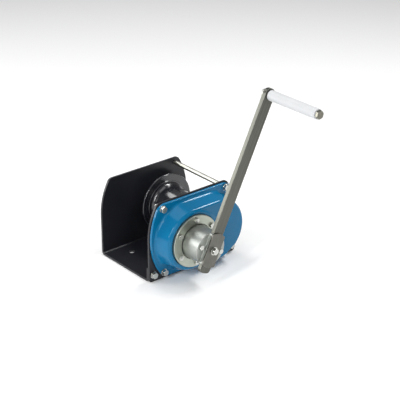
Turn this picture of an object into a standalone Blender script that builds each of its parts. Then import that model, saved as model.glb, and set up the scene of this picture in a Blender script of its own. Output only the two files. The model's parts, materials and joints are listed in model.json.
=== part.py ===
"""Brake hand winch for a boat trailer, modelled at its real size and at rest.

World frame: the origin is the centre of the base's underside. +X runs along the rope drum
towards the crank, +Y to the rear and +Z up. Sizes below are in millimetres and MM turns them
into metres. Every shaft lies along X, so most pieces are outlines in the YZ plane with depths
along X.
"""

import math

import bmesh
import bpy

MM = 0.001
GAP = 0.3

# Frame: two side plates on a base, bent from one thickness of plate
WIDTH = 160.0
DEPTH = 222.0
HEIGHT = 166.0
PLATE = 4.5
BEND = 7.5
SIDE_ARC = 140.0
SIDE_ARC_HEIGHT = 90.0
SIDE_CORNER = 11.0
BOTTOM_CORNER = 5.0
LIP_HEIGHT = 30.0
BASE_HOLE = 6.5
BASE_HOLES = [(-43.0, -62.0), (43.0, -62.0), (-43.0, 62.0), (43.0, 62.0)]
SIDE_BOLTS = {"front": (-101.0, 14.5), "rear": (101.0, 14.5)}

# Gear train: both shafts at one height, with the pinion's axis in front of the drum's
MODULE = 2.0
PINION_TEETH = 12
GEAR_TEETH = 56
PRESSURE_ANGLE = math.radians(25.0)
TOOTH_THINNING = 0.3
SHAFT_HEIGHT = 83.0
CRANK_AXIS = (-28.0, SHAFT_HEIGHT)
CENTRE_DISTANCE = MODULE * (PINION_TEETH + GEAR_TEETH) / 2
DRUM_AXIS = (CRANK_AXIS[0] + CENTRE_DISTANCE, SHAFT_HEIGHT)

# Crank: a flat bar leaning to the rear, with a free-turning grip at its end
CRANK_LEAN = math.radians(26.5)
CRANK_RADIUS = 320.0
ARM_WIDTH = 26.0
ARM_THICKNESS = 9.0
ARM_TAIL = 48.5
GRIP_RADIUS = 10.5
GRIP_LENGTH = 128.0

# Depths along X
RIGHT = WIDTH / 2
LEFT = -WIDTH / 2
GASKET = 1.0
RIM = 4.5
RIM_BACK = RIGHT + 2 * GAP + GASKET
RIM_FRONT = RIM_BACK + RIM
WALL = 3.5
COVER_FRONT = RIGHT + 35.0
SEAT = COVER_FRONT + 2.2
FLANGE_FRONT = RIGHT + 44.6
HUB_END = RIGHT + 88.0
ARM_BACK = HUB_END - 2.7
ARM_FRONT = ARM_BACK + ARM_THICKNESS
RAIL_TOP = ARM_FRONT - 0.1
CLAMP_BACK = ARM_FRONT + GAP
CLAMP_FRONT = CLAMP_BACK + 3.2

# Rope drum and its shaft
DRUM_FLANGE = 63.0
DRUM_CORE = 39.0
COVE = 47.0
FLANGE_BORE = 36.0
ROPE_HOLE_RADIUS = 53.5
DRUM_SHAFT = 12.5
DRUM_LEFT = LEFT + 21.8
DRUM_RIGHT = 50.0
BUSH_WALL = 3.7

# Brake on the crank axis
BODY_RADIUS = 68.5
BODY_REAR = (37.0, SHAFT_HEIGHT)
HUB_RADIUS = 35.2
SPIGOT = 22.0
THREAD = 11.0
BRAKE_BACK = RIGHT + 18.6
RATCHET_TEETH = 12
RATCHET_TIP = 36.0
RATCHET_ROOT = 29.0
PAWL_ENGAGED = math.radians(170.0)
PAWL_PIVOT_ANGLE = math.radians(120.0)
PAWL_PIVOT_RADIUS = 48.0

# Fasteners
M8 = {"shank": 4.0, "hole": 4.4, "flats": 12.0, "head": 5.2, "washer": 7.5, "washer_height": 1.5}
M6 = {"shank": 3.0, "hole": 3.4, "flats": 10.0, "head": 4.0, "washer": 0.0, "washer_height": 0.0}
COVER_BOLTS = {
    "front_top": (-80.5, 155.0),
    "rear_top": (80.5, 155.0),
    "front_bottom": (-79.5, 16.0),
    "rear_bottom": (79.5, 16.0),
}
RELIEF = {"front_top": 12.0, "rear_top": 17.0, "front_bottom": 17.0, "rear_bottom": 14.0}
FLANGE_BOLT_CIRCLE = 46.0
HUB_BOLT_OFFSET = 27.0
NUT_HEIGHT = 6.2

for old in list(bpy.data.objects):
    bpy.data.objects.remove(old)

PARTS = bpy.data.collections.new("trailer_winch")
CUTTERS = bpy.data.collections.new("cutters")
for group in (PARTS, CUTTERS):
    bpy.context.scene.collection.children.link(group)


def finish(name, colour, roughness, metallic):
    material = bpy.data.materials.new(name)
    material.use_nodes = True
    shader = material.node_tree.nodes["Principled BSDF"]
    shader.inputs["Base Color"].default_value = (*colour, 1.0)
    shader.inputs["Roughness"].default_value = roughness
    shader.inputs["Metallic"].default_value = metallic
    return material


BLACK_PAINT = finish("black_paint", (0.009, 0.010, 0.013), 0.42, 0.0)
DRUM_PAINT = finish("drum_paint", (0.035, 0.038, 0.045), 0.30, 0.0)
BLUE_PAINT = finish("blue_paint", (0.004, 0.150, 0.390), 0.22, 0.0)
ZINC = finish("zinc_plate", (0.52, 0.53, 0.50), 0.32, 1.0)
BAR_STEEL = finish("plated_bar", (0.32, 0.33, 0.31), 0.38, 1.0)
GEAR_STEEL = finish("gear_steel", (0.42, 0.43, 0.45), 0.30, 1.0)
BRONZE = finish("bush_bronze", (0.55, 0.38, 0.18), 0.35, 1.0)
FRICTION = finish("brake_lining", (0.09, 0.06, 0.045), 0.80, 0.0)
PAPER = finish("gasket_paper", (0.012, 0.012, 0.014), 0.75, 0.0)
NYLON = finish("white_nylon", (0.80, 0.81, 0.82), 0.45, 0.0)


def add_object(name, mesh, material, parent=None, collection=PARTS):
    mesh.materials.append(material)
    obj = bpy.data.objects.new(name, mesh)
    obj.parent = parent
    collection.objects.link(obj)
    return obj


def joint_axis(name, centre, lean=0.0):
    """An empty on a shaft's centre line; lean turns what hangs on it about X, towards the rear."""
    axis = bpy.data.objects.new(name, None)
    axis.location = (0.0, centre[0] * MM, centre[1] * MM)
    axis.rotation_euler = (-lean, 0.0, 0.0)
    PARTS.objects.link(axis)
    return axis


def turned(name, profile, material, centre=(0.0, 0.0), steps=28, parent=None, collection=PARTS):
    """A turned piece on an axis along X. The profile gives (radius, x) down the outer side, from
    the end nearest the crank, and then back up the bore; it starts at radius 0 on a solid piece."""
    shape = bmesh.new()
    points = [shape.verts.new((radius * MM, 0.0, x * MM)) for radius, x in profile]
    for first, second in zip(points, points[1:]):
        shape.edges.new((first, second))
    if profile[0][0] > 0:
        shape.edges.new((points[-1], points[0]))
    mesh = bpy.data.meshes.new(name)
    shape.to_mesh(mesh)
    shape.free()
    obj = add_object(name, mesh, material, parent, collection)
    obj.location = (0.0, centre[0] * MM, centre[1] * MM)
    obj.rotation_euler = (0.0, math.pi / 2, 0.0)
    screw = obj.modifiers.new("turn", "SCREW")
    screw.steps = steps
    screw.render_steps = steps
    screw.use_merge_vertices = True
    screw.merge_threshold = 0.00001
    screw.use_smooth_shade = True
    return obj


def lofted(name, sections, material, parent=None, collection=PARTS, ring=False):
    """A solid through sections along X, each (x, outline in YZ). A ring's last section joins its
    first, which leaves a hole through it; any other piece is capped at both ends."""
    shape = bmesh.new()
    loops = [[shape.verts.new((x * MM, y * MM, z * MM)) for y, z in outline] for x, outline in sections]
    pairs = list(zip(loops, loops[1:]))
    if ring:
        pairs.append((loops[-1], loops[0]))
    else:
        shape.faces.new(loops[0])
        shape.faces.new(loops[-1])
    for near, far in pairs:
        for i in range(len(near)):
            following = (i + 1) % len(near)
            shape.faces.new((near[i], near[following], far[following], far[i]))
    bmesh.ops.recalc_face_normals(shape, faces=shape.faces)
    mesh = bpy.data.meshes.new(name)
    shape.to_mesh(mesh)
    shape.free()
    mesh.shade_smooth()
    mesh.set_sharp_from_angle(angle=math.radians(35.0))
    return add_object(name, mesh, material, parent, collection)


def arc(centre, radius, start, end, count):
    """Points along an arc in YZ; angles in degrees, from +Y towards +Z."""
    angles = [math.radians(start + (end - start) * i / (count - 1)) for i in range(count)]
    return [(centre[0] + radius * math.cos(a), centre[1] + radius * math.sin(a)) for a in angles]


def circle(centre, radius, count=12):
    return arc(centre, radius, 0.0, 360.0 * (count - 1) / count, count)


def hexagon(centre, flats):
    """Twelve points: the six corners with the middle of each side between them."""
    points = []
    for i in range(12):
        radius = flats / 2 / (math.cos(math.pi / 6) if i % 2 == 0 else 1.0)
        angle = math.radians(30.0 * i)
        points.append((centre[0] + radius * math.cos(angle), centre[1] + radius * math.sin(angle)))
    return points


def rectangle(y_low, y_high, z_low, z_high):
    return [(y_low, z_low), (y_high, z_low), (y_high, z_high), (y_low, z_high)]


def stadium(radius, count=14):
    """The cover body's outline: half circles round the two shafts, joined by straight sides."""
    return arc(BODY_REAR, radius, -90.0, 90.0, count) + arc(CRANK_AXIS, radius, 90.0, 270.0, count)


def mirrored(front_half):
    """The whole of an outline from its front half, which runs from the bottom edge to the top."""
    return front_half + [(-y, z) for y, z in reversed(front_half)]


def side_outline():
    """Upright edges to SIDE_ARC_HEIGHT, then large arcs that lean in to the rounded top corners."""
    centre = (SIDE_ARC - DEPTH / 2, SIDE_ARC_HEIGHT)
    reach = SIDE_ARC - SIDE_CORNER
    rise = HEIGHT - SIDE_CORNER - SIDE_ARC_HEIGHT
    corner = (centre[0] - math.sqrt(reach**2 - rise**2), HEIGHT - SIDE_CORNER)
    turn = 180.0 - math.degrees(math.asin(rise / reach))
    return mirrored([(-DEPTH / 2, 0.0)] + arc(centre, SIDE_ARC, 180.0, turn, 7) + arc(corner, SIDE_CORNER, turn, 90.0, 4)[1:])


def cover_outline(inset):
    """The cover's rim: the side plate's large arcs above and below, just inside the plate."""
    radius = SIDE_ARC - inset
    centre = (SIDE_ARC - DEPTH / 2, SIDE_ARC_HEIGHT)
    points = []
    for corner_radius, edge, side in ((9.0, 3.5 + inset, -1.0), (SIDE_CORNER, HEIGHT - inset, 1.0)):
        reach = radius - corner_radius
        rise = abs(edge - SIDE_ARC_HEIGHT) - corner_radius
        corner = (centre[0] - math.sqrt(reach**2 - rise**2), edge - side * corner_radius)
        turn = 180.0 - side * math.degrees(math.asin(rise / reach))
        if side < 0:
            points += arc(corner, corner_radius, 270.0, turn, 4)[:-1]
            points += arc(centre, radius, turn, 180.0, 6)[:-1]
        else:
            points += arc(centre, radius, 180.0, turn, 6)
            points += arc(corner, corner_radius, turn, 90.0, 4)[1:]
    return mirrored(points)


def cut(target, cutter, operation="DIFFERENCE"):
    """Adds a Boolean to the target; the cutter stays in its own collection as a wire helper."""
    cutter.hide_render = True
    cutter.display_type = "WIRE"
    boolean = target.modifiers.new(cutter.name, "BOOLEAN")
    boolean.operation = operation
    boolean.solver = "EXACT"
    boolean.object = cutter


def drill(target, name, holes, x_low, x_high, count=20, parent=None):
    """Cuts round holes along X; holes are (centre, radius)."""
    for number, (centre, radius) in enumerate(holes):
        outline = circle(centre, radius, count)
        cutter = lofted(f"{name}_{number}", [(x_low, outline), (x_high, outline)], ZINC, parent, CUTTERS)
        cut(target, cutter)


def drill_up(target, name, x, centre, radius, z_low, z_high, parent=None):
    """Cuts one round hole along Z, through a piece at x."""
    shape = bmesh.new()
    bmesh.ops.create_cone(
        shape, cap_ends=True, segments=16, radius1=radius * MM, radius2=radius * MM, depth=(z_high - z_low) * MM
    )
    middle = (x * MM, centre * MM, (z_low + z_high) / 2 * MM)
    bmesh.ops.translate(shape, verts=shape.verts, vec=middle)
    mesh = bpy.data.meshes.new(name)
    shape.to_mesh(mesh)
    shape.free()
    cut(target, add_object(name, mesh, ZINC, parent, CUTTERS))


def bolt(name, size, centre, seat, end, parent=None, direction=1.0, material=ZINC):
    """A hexagon bolt with its washer as one forging. It sits on the plane x = seat with its head
    on the direction's side, and its shank ends at x = end."""
    top_of_washer = seat + direction * size["washer_height"]
    top_of_head = top_of_washer + direction * size["head"]
    shank = circle(centre, size["shank"])
    sections = [(end, shank), (seat, shank)]
    if size["washer"]:
        washer = circle(centre, size["washer"])
        sections += [(seat, washer), (top_of_washer, washer)]
    head = hexagon(centre, size["flats"])
    crown = circle(centre, size["flats"] / 2 * 0.94)
    sections += [(top_of_washer, head), (top_of_head - direction * 0.6, head), (top_of_head, crown)]
    return lofted(name, sections, material, parent)


def nut(name, size, centre, x_low, x_high, parent=None, material=ZINC):
    outline = hexagon(centre, size["flats"])
    bore = circle(centre, size["hole"])
    sections = [(x_low, outline), (x_high, outline), (x_high, bore), (x_low, bore)]
    return lofted(name, sections, material, parent, ring=True)


def gear_outline(centre, teeth, phase):
    """Involute teeth, thinned so that a meshed pair keeps its backlash. phase turns tooth 0."""
    pitch_radius = MODULE * teeth / 2
    base_radius = pitch_radius * math.cos(PRESSURE_ANGLE)
    tip_radius = pitch_radius + MODULE
    root_radius = pitch_radius - 1.25 * MODULE
    start = max(base_radius, root_radius)

    def involute(radius):
        angle = math.acos(min(1.0, base_radius / radius))
        return math.tan(angle) - angle

    def half_angle(radius):
        at_pitch = math.pi / 2 / teeth - TOOTH_THINNING / 2 / pitch_radius
        return at_pitch + involute(pitch_radius) - involute(radius)

    flank = [start + (tip_radius - start) * i / 2 for i in range(3)]
    side = [(radius, half_angle(radius)) for radius in flank]
    if base_radius > root_radius:
        side.insert(0, (root_radius, half_angle(start)))
    tooth = [(radius, -angle) for radius, angle in side] + [(radius, angle) for radius, angle in reversed(side)]
    points = []
    for number in range(teeth):
        middle = phase + 2 * math.pi * number / teeth
        for radius, angle in tooth:
            points.append((centre[0] + radius * math.cos(middle + angle), centre[1] + radius * math.sin(middle + angle)))
    return points


def polar(centre, radius, angle):
    return (centre[0] + radius * math.cos(angle), centre[1] + radius * math.sin(angle))


DRUM_JOINT = joint_axis("drum_axis", DRUM_AXIS)
SHAFT_JOINT = joint_axis("pinion_axis", CRANK_AXIS)
CRANK_JOINT = joint_axis("crank_axis", CRANK_AXIS, CRANK_LEAN)


def base_frame():
    """Left side, base and a low right-hand lip, bent from one plate."""
    top, lip = HEIGHT, LIP_HEIGHT
    inner = BEND - PLATE
    lip_out = RIGHT - PLATE - GAP
    low_left, low_right = (LEFT + BEND, BEND), (lip_out - BEND, BEND)
    section = [(LEFT, top)] + arc(low_left, BEND, 180.0, 270.0, 5) + arc(low_right, BEND, 270.0, 360.0, 5)
    section += [(lip_out, lip), (lip_out - PLATE, lip)]
    section += arc(low_right, inner, 360.0, 270.0, 5) + arc(low_left, inner, 270.0, 180.0, 5)
    section.append((LEFT + PLATE, top))
    shape = bmesh.new()
    ends = [[shape.verts.new((x * MM, y * MM, z * MM)) for x, z in section] for y in (-DEPTH / 2, DEPTH / 2)]
    for loop in ends:
        shape.faces.new(loop)
    for i in range(len(section)):
        following = (i + 1) % len(section)
        shape.faces.new((ends[0][i], ends[0][following], ends[1][following], ends[1][i]))
    bmesh.ops.recalc_face_normals(shape, faces=shape.faces)
    mesh = bpy.data.meshes.new("base_frame")
    shape.to_mesh(mesh)
    shape.free()
    frame = add_object("base_frame", mesh, BLACK_PAINT)
    outline = [(y, z if z > 1 else z - 1) for y, z in side_outline()]
    sheared = lofted("side_shape", [(LEFT - 5, outline), (RIGHT + 5, outline)], ZINC, None, CUTTERS)
    cut(frame, sheared, "INTERSECT")
    for number, (x, y) in enumerate(BASE_HOLES):
        drill_up(frame, f"base_hole_{number}", x, y, BASE_HOLE, -2.0, PLATE + 2.0)
    journal = [(DRUM_AXIS, DRUM_SHAFT + GAP + BUSH_WALL + GAP), (COVER_BOLTS["rear_top"], M8["hole"])]
    drill(frame, "left_journal", journal, LEFT - 2, LEFT + PLATE + 1, 28)
    low_bolts = list(SIDE_BOLTS.values()) + [COVER_BOLTS["front_bottom"], COVER_BOLTS["rear_bottom"]]
    drill(frame, "lip_hole", [(p, M8["hole"]) for p in low_bolts], lip_out - PLATE - 2, lip_out + 2)


def right_side():
    """The right side plate, bolted to the base's lip, with the bolts that hold it."""
    outline = mirrored(arc((BOTTOM_CORNER - DEPTH / 2, BOTTOM_CORNER), BOTTOM_CORNER, 270.0, 180.0, 4) + side_outline()[1:11])
    plate = lofted("right_side_plate", [(RIGHT - PLATE, outline), (RIGHT, outline)], BLACK_PAINT)
    holes = [(DRUM_AXIS, DRUM_SHAFT + GAP + BUSH_WALL + GAP), (CRANK_AXIS, 9.0 + GAP + BUSH_WALL + GAP)]
    holes += [(p, M8["hole"]) for p in list(COVER_BOLTS.values()) + list(SIDE_BOLTS.values())]
    holes.append((polar(CRANK_AXIS, PAWL_PIVOT_RADIUS, PAWL_PIVOT_ANGLE), 4.4))
    drill(plate, "right_plate_hole", holes, RIGHT - PLATE - 2, RIGHT + 2, 24)
    lip_face = RIGHT - 2 * PLATE - GAP
    for place, centre in SIDE_BOLTS.items():
        bolt(f"side_plate_bolt_{place}", M8, centre, RIGHT + GAP, lip_face)


def tie_rod():
    """The spacer rod across the frame's top rear corner; a cover bolt screws into its right end."""
    centre = COVER_BOLTS["rear_top"]
    inner_left, inner_right = LEFT + PLATE + GAP, RIGHT - PLATE - GAP
    profile = [(4.7, inner_right), (4.7, inner_left), (4.0, inner_left), (4.0, LEFT - 9.5), (0.0, LEFT - 9.5)]
    rod = turned("tie_rod", [(0.0, inner_right)] + profile, ZINC, centre, 20)
    outline = circle(centre, M8["hole"], 16)
    cut(rod, lofted("tie_rod_thread", [(inner_right - 18, outline), (inner_right + 1, outline)], ZINC, None, CUTTERS))
    nut("tie_rod_nut", M8, centre, LEFT - GAP - NUT_HEIGHT, LEFT - GAP)


def cover():
    """The pressed gear cover on its gasket: a flat rim and a raised body round both shafts."""
    rim = cover_outline(1.5)
    opening = stadium(BODY_RADIUS - 5.0)
    gasket = lofted("cover_gasket", [(RIGHT + GAP, rim), (RIGHT + GAP + GASKET, rim)], PAPER)
    holes = [(p, M8["hole"]) for p in COVER_BOLTS.values()]
    drill(gasket, "gasket_hole", holes, RIGHT - 1, RIGHT + 4)
    window = lofted("gasket_window", [(RIGHT - 1, opening), (RIGHT + 4, opening)], ZINC, None, CUTTERS)
    cut(gasket, window)

    shell = lofted("gear_cover", [(RIM_BACK, rim), (RIM_FRONT - 0.8, rim), (RIM_FRONT, cover_outline(2.3))], BLUE_PAINT)
    steps = [(2.0, 3.9), (6.8, 3.9), (9.0, 3.3), (32.8, -3.2), (35.8, -4.8), (37.3, -7.8)]
    body = lofted(
        "cover_body", [(RIGHT + x, stadium(BODY_RADIUS + grow)) for x, grow in steps], BLUE_PAINT, None, CUTTERS
    )
    cut(shell, body, "UNION")
    boss = turned(
        "cover_boss", [(0.0, 119.5), (58.0, 119.5), (60.4, 118.9), (62.4, 116.9), (0.0, 116.0)], ZINC, CRANK_AXIS, 36,
        None, CUTTERS,
    )
    cut(shell, boss, "UNION")
    for place, centre in COVER_BOLTS.items():
        relief = circle(centre, RELIEF[place], 24)
        cut(shell, lofted(f"relief_{place}", [(RIM_FRONT + 0.02, relief), (RIGHT + 40, relief)], ZINC, None, CUTTERS))
    inside = [(-4.0, -5.5), (8.0, -5.5), (25.0, -6.4), (31.5, -9.5)]
    hollow = lofted(
        "cover_hollow", [(RIGHT + x, stadium(BODY_RADIUS + grow)) for x, grow in inside], ZINC, None, CUTTERS
    )
    cut(shell, hollow)
    seat = [(56.3, 125.0), (56.3, SEAT), (37.0, SEAT), (37.0, 105.0), (0.0, 105.0)]
    cut(shell, turned("cover_seat", [(0.0, 125.0)] + seat, ZINC, CRANK_AXIS, 36, None, CUTTERS))
    drill(shell, "cover_hole", holes, RIM_BACK - 2, RIM_FRONT + 2)
    bolt_holes = [(polar(CRANK_AXIS, FLANGE_BOLT_CIRCLE, math.radians(30 + 60 * i)), M6["hole"]) for i in range(6)]
    drill(shell, "cover_flange_hole", bolt_holes, COVER_FRONT - 8, SEAT + 3, 12)

    for place, centre in COVER_BOLTS.items():
        into_rod = place == "rear_top"
        nut_face = RIGHT - PLATE - GAP
        if place.endswith("bottom"):
            nut_face -= PLATE + GAP
        bolt(f"cover_bolt_{place}", M8, centre, RIM_FRONT + GAP, nut_face - (12.0 if into_rod else NUT_HEIGHT + 4))
        if not into_rod:
            nut(f"cover_nut_{place}", M8, centre, nut_face - NUT_HEIGHT, nut_face)


def bush(name, centre, bore, x_plate, flange_side):
    """A flanged bronze bush pressed in a side plate, with its flange inside the frame."""
    outer = bore + BUSH_WALL
    collar = outer + 4.5
    low, high = x_plate, x_plate + PLATE
    if flange_side > 0:
        profile = [(collar, high + GAP + 3), (collar, high + GAP), (outer, high + GAP), (outer, low), (bore, low), (bore, high + GAP + 3)]
    else:
        profile = [(outer, high), (outer, low - GAP), (collar, low - GAP), (collar, low - GAP - 3), (bore, low - GAP - 3), (bore, high)]
    turned(name, profile, BRONZE, centre, 28)


def rope_drum():
    """Rope drum: a cast core, pocketed from the gear side, with a flange pressed on each end. It is
    pinned to a shaft that carries the drum gear."""
    bush("drum_bush_left", DRUM_AXIS, DRUM_SHAFT + GAP, LEFT, 1)
    bush("drum_bush_right", DRUM_AXIS, DRUM_SHAFT + GAP, RIGHT - PLATE, -1)
    bore = DRUM_SHAFT + GAP
    left_end = LEFT + PLATE + GAP + 3 + GAP
    right_end = -left_end
    inner_left, inner_right = DRUM_LEFT + 6.0, DRUM_RIGHT - 6.0
    cove = [(COVE, 0.0), (42.6, 2.3), (40.0, 6.5), (DRUM_CORE, 12.0)]
    core_left, core_right = inner_left + GAP, inner_right - GAP
    profile = [(22.0, right_end), (22.0, DRUM_RIGHT), (FLANGE_BORE, DRUM_RIGHT), (FLANGE_BORE, core_right)]
    profile += [(radius, core_right - x) for radius, x in cove] + [(radius, core_left + x) for radius, x in reversed(cove)]
    profile += [(FLANGE_BORE, core_left), (FLANGE_BORE, DRUM_LEFT), (22.0, DRUM_LEFT), (22.0, left_end)]
    profile += [(bore, left_end), (bore, right_end)]
    drum = turned("drum_core", profile, DRUM_PAINT, (0.0, 0.0), 32, DRUM_JOINT)
    pocket = [(32.0, DRUM_RIGHT + 6), (32.0, inner_left + 8), (23.0, inner_left + 8), (23.0, DRUM_RIGHT + 6)]
    cut(drum, turned("drum_pocket", pocket, ZINC, (0.0, 0.0), 28, DRUM_JOINT, CUTTERS))
    flanges = {}
    for side, low in (("left", DRUM_LEFT), ("right", inner_right)):
        high = low + 6.0
        profile = [(FLANGE_BORE + GAP, high), (DRUM_FLANGE - 1.2, high), (DRUM_FLANGE, high - 1.2), (DRUM_FLANGE, low + 1.2)]
        profile += [(DRUM_FLANGE - 1.2, low), (FLANGE_BORE + GAP, low)]
        flanges[side] = turned(f"drum_flange_{side}", profile[1:] + profile[:1], DRUM_PAINT, (0.0, 0.0), 36, DRUM_JOINT)
    rope_hole = circle((0.0, -ROPE_HOLE_RADIUS), 5.5, 14)
    cut(flanges["left"], lofted("rope_hole", [(DRUM_LEFT - 2, rope_hole), (inner_left + 3, rope_hole)], ZINC, DRUM_JOINT, CUTTERS))

    shaft_ends = (RIGHT + 27.5, LEFT - 10.0)
    shaft_profile = [(0.0, shaft_ends[0]), (11.5, shaft_ends[0]), (DRUM_SHAFT, shaft_ends[0] - 1)]
    shaft_profile += [(DRUM_SHAFT, shaft_ends[1] + 1), (11.5, shaft_ends[1]), (0.0, shaft_ends[1])]
    shaft = turned("drum_shaft", shaft_profile, GEAR_STEEL, (0.0, 0.0), 28, DRUM_JOINT)
    key_low, key_high = RIGHT + 5.3, RIGHT + 16.5
    slot = rectangle(-3.3, 3.3, 9.2, 20.0)
    cut(shaft, lofted("shaft_keyway", [(key_low - GAP, slot), (key_high + GAP, slot)], ZINC, DRUM_JOINT, CUTTERS))
    pin_x = DRUM_LEFT - 5.7
    for piece in (drum, shaft):
        drill_up(piece, f"pin_hole_{piece.name}", pin_x, 0.0, 3.3, -26.0, 26.0, DRUM_JOINT)
    pin = bmesh.new()
    bmesh.ops.create_cone(pin, cap_ends=True, segments=12, radius1=3.0 * MM, radius2=3.0 * MM, depth=42.0 * MM)
    bmesh.ops.translate(pin, verts=pin.verts, vec=(pin_x * MM, 0.0, 0.0))
    mesh = bpy.data.meshes.new("drum_pin")
    pin.to_mesh(mesh)
    pin.free()
    add_object("drum_pin", mesh, GEAR_STEEL, DRUM_JOINT)

    for name, low, high in (("drum_shaft_nut", LEFT - GAP - 8.0, LEFT - GAP), ("gear_retaining_nut", RIGHT + 17.6, RIGHT + 25.6)):
        outline, hole = hexagon((0.0, 0.0), 36.0), circle((0.0, 0.0), bore)
        hole = circle((0.0, 0.0), bore / math.cos(math.pi / 12), 12)
        lofted(name, [(low, outline), (high, outline), (high, hole), (low, hole)], ZINC, DRUM_JOINT, ring=True)
    spacer = [(19.0, RIGHT + 4.7), (19.0, RIGHT + 0.5), (bore, RIGHT + 0.5), (bore, RIGHT + 4.7)]
    turned("gear_spacer", spacer, GEAR_STEEL, (0.0, 0.0), 28, DRUM_JOINT)

    teeth = gear_outline((0.0, 0.0), GEAR_TEETH, 0.0)
    gear = lofted("drum_gear", [(RIGHT + 5.0, teeth), (RIGHT + 17.0, teeth)], GEAR_STEEL, DRUM_JOINT)
    recess = [(46.0, RIGHT + 20), (46.0, RIGHT + 14), (23.0, RIGHT + 14), (23.0, RIGHT + 20)]
    cut(gear, turned("gear_recess", recess, ZINC, (0.0, 0.0), 28, DRUM_JOINT, CUTTERS))
    cut(gear, turned("gear_bore", [(0.0, RIGHT + 20), (bore, RIGHT + 20), (bore, RIGHT), (0.0, RIGHT)], ZINC, (0.0, 0.0), 28, DRUM_JOINT, CUTTERS))
    keyway = rectangle(-3.3, 3.3, 8.0, 15.8)
    cut(gear, lofted("gear_keyway", [(RIGHT + 3, keyway), (RIGHT + 19, keyway)], ZINC, DRUM_JOINT, CUTTERS))
    key = rectangle(-3.0, 3.0, 9.5, 15.5)
    lofted("gear_key", [(key_low, key), (key_high, key)], GEAR_STEEL, DRUM_JOINT)

    saddle = rectangle(8.0, 32.0, -54.0, -43.0)
    saddle_face = DRUM_LEFT - GAP
    clamp = lofted("rope_clamp", [(saddle_face - 4.0, saddle), (saddle_face, saddle)], ZINC, DRUM_JOINT)
    for number, y in enumerate((13.8, 26.2)):
        centre = (y, -48.5)
        drill(clamp, f"rope_clamp_hole_{number}", [(centre, M6["hole"])], saddle_face - 6, saddle_face + 2, 12, DRUM_JOINT)
        drill(flanges["left"], f"rope_clamp_thread_{number}", [(centre, M6["hole"])], saddle_face - 1, DRUM_LEFT + 8.0, 12, DRUM_JOINT)
        bolt(f"rope_clamp_screw_{number + 1}", M6, centre, saddle_face - 4.0 - GAP, DRUM_LEFT + 4.0, DRUM_JOINT, -1.0)


def drive_shaft():
    """Pinion, brake collar and thread in one piece, with the brake's discs and ratchet on it."""
    bush("pinion_bush", CRANK_AXIS, 9.0 + GAP, RIGHT - PLATE, -1)
    end = RIGHT + 70.0
    collar_top = BRAKE_BACK + 3.0
    profile = [(0.0, end), (THREAD - 1, end), (THREAD, end - 1), (THREAD, collar_top), (SPIGOT, collar_top), (SPIGOT, BRAKE_BACK)]
    profile += [(9.2, BRAKE_BACK - 0.3), (9.0, RIGHT - 12.0), (8.2, RIGHT - 12.8), (0.0, RIGHT - 12.8)]
    shaft = turned("pinion_shaft", profile, GEAR_STEEL, (0.0, 0.0), 28, SHAFT_JOINT)
    teeth = gear_outline((0.0, 0.0), PINION_TEETH, math.pi / PINION_TEETH)
    cut(shaft, lofted("pinion_teeth", [(RIGHT + 4.0, teeth), (BRAKE_BACK + 1.0, teeth)], ZINC, SHAFT_JOINT, CUTTERS), "UNION")
    thread = circle((0.0, 0.0), M8["hole"], 16)
    cut(shaft, lofted("shaft_thread", [(end - 18.0, thread), (end + 1.0, thread)], ZINC, SHAFT_JOINT, CUTTERS))

    low = collar_top + GAP
    bore = THREAD + GAP
    for name in ("brake_disc_inner", "ratchet_wheel", "brake_disc_outer"):
        if name == "ratchet_wheel":
            high = low + 5.0
            outline = []
            for number in range(RATCHET_TEETH):
                angle = PAWL_ENGAGED + 2 * math.pi * number / RATCHET_TEETH
                outline += [polar((0.0, 0.0), RATCHET_ROOT, angle), polar((0.0, 0.0), RATCHET_TIP, angle)]
            wheel = lofted(name, [(low, outline), (high, outline)], GEAR_STEEL, SHAFT_JOINT)
            drill(wheel, "ratchet_bore", [((0.0, 0.0), bore)], low - 1, high + 1, 28, SHAFT_JOINT)
            pawl_and_spring(low, high)
        else:
            high = low + 1.7
            turned(name, [(SPIGOT, high), (SPIGOT, low), (bore, low), (bore, high)], FRICTION, (0.0, 0.0), 28, SHAFT_JOINT)
        low = high + GAP
    return low


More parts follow.
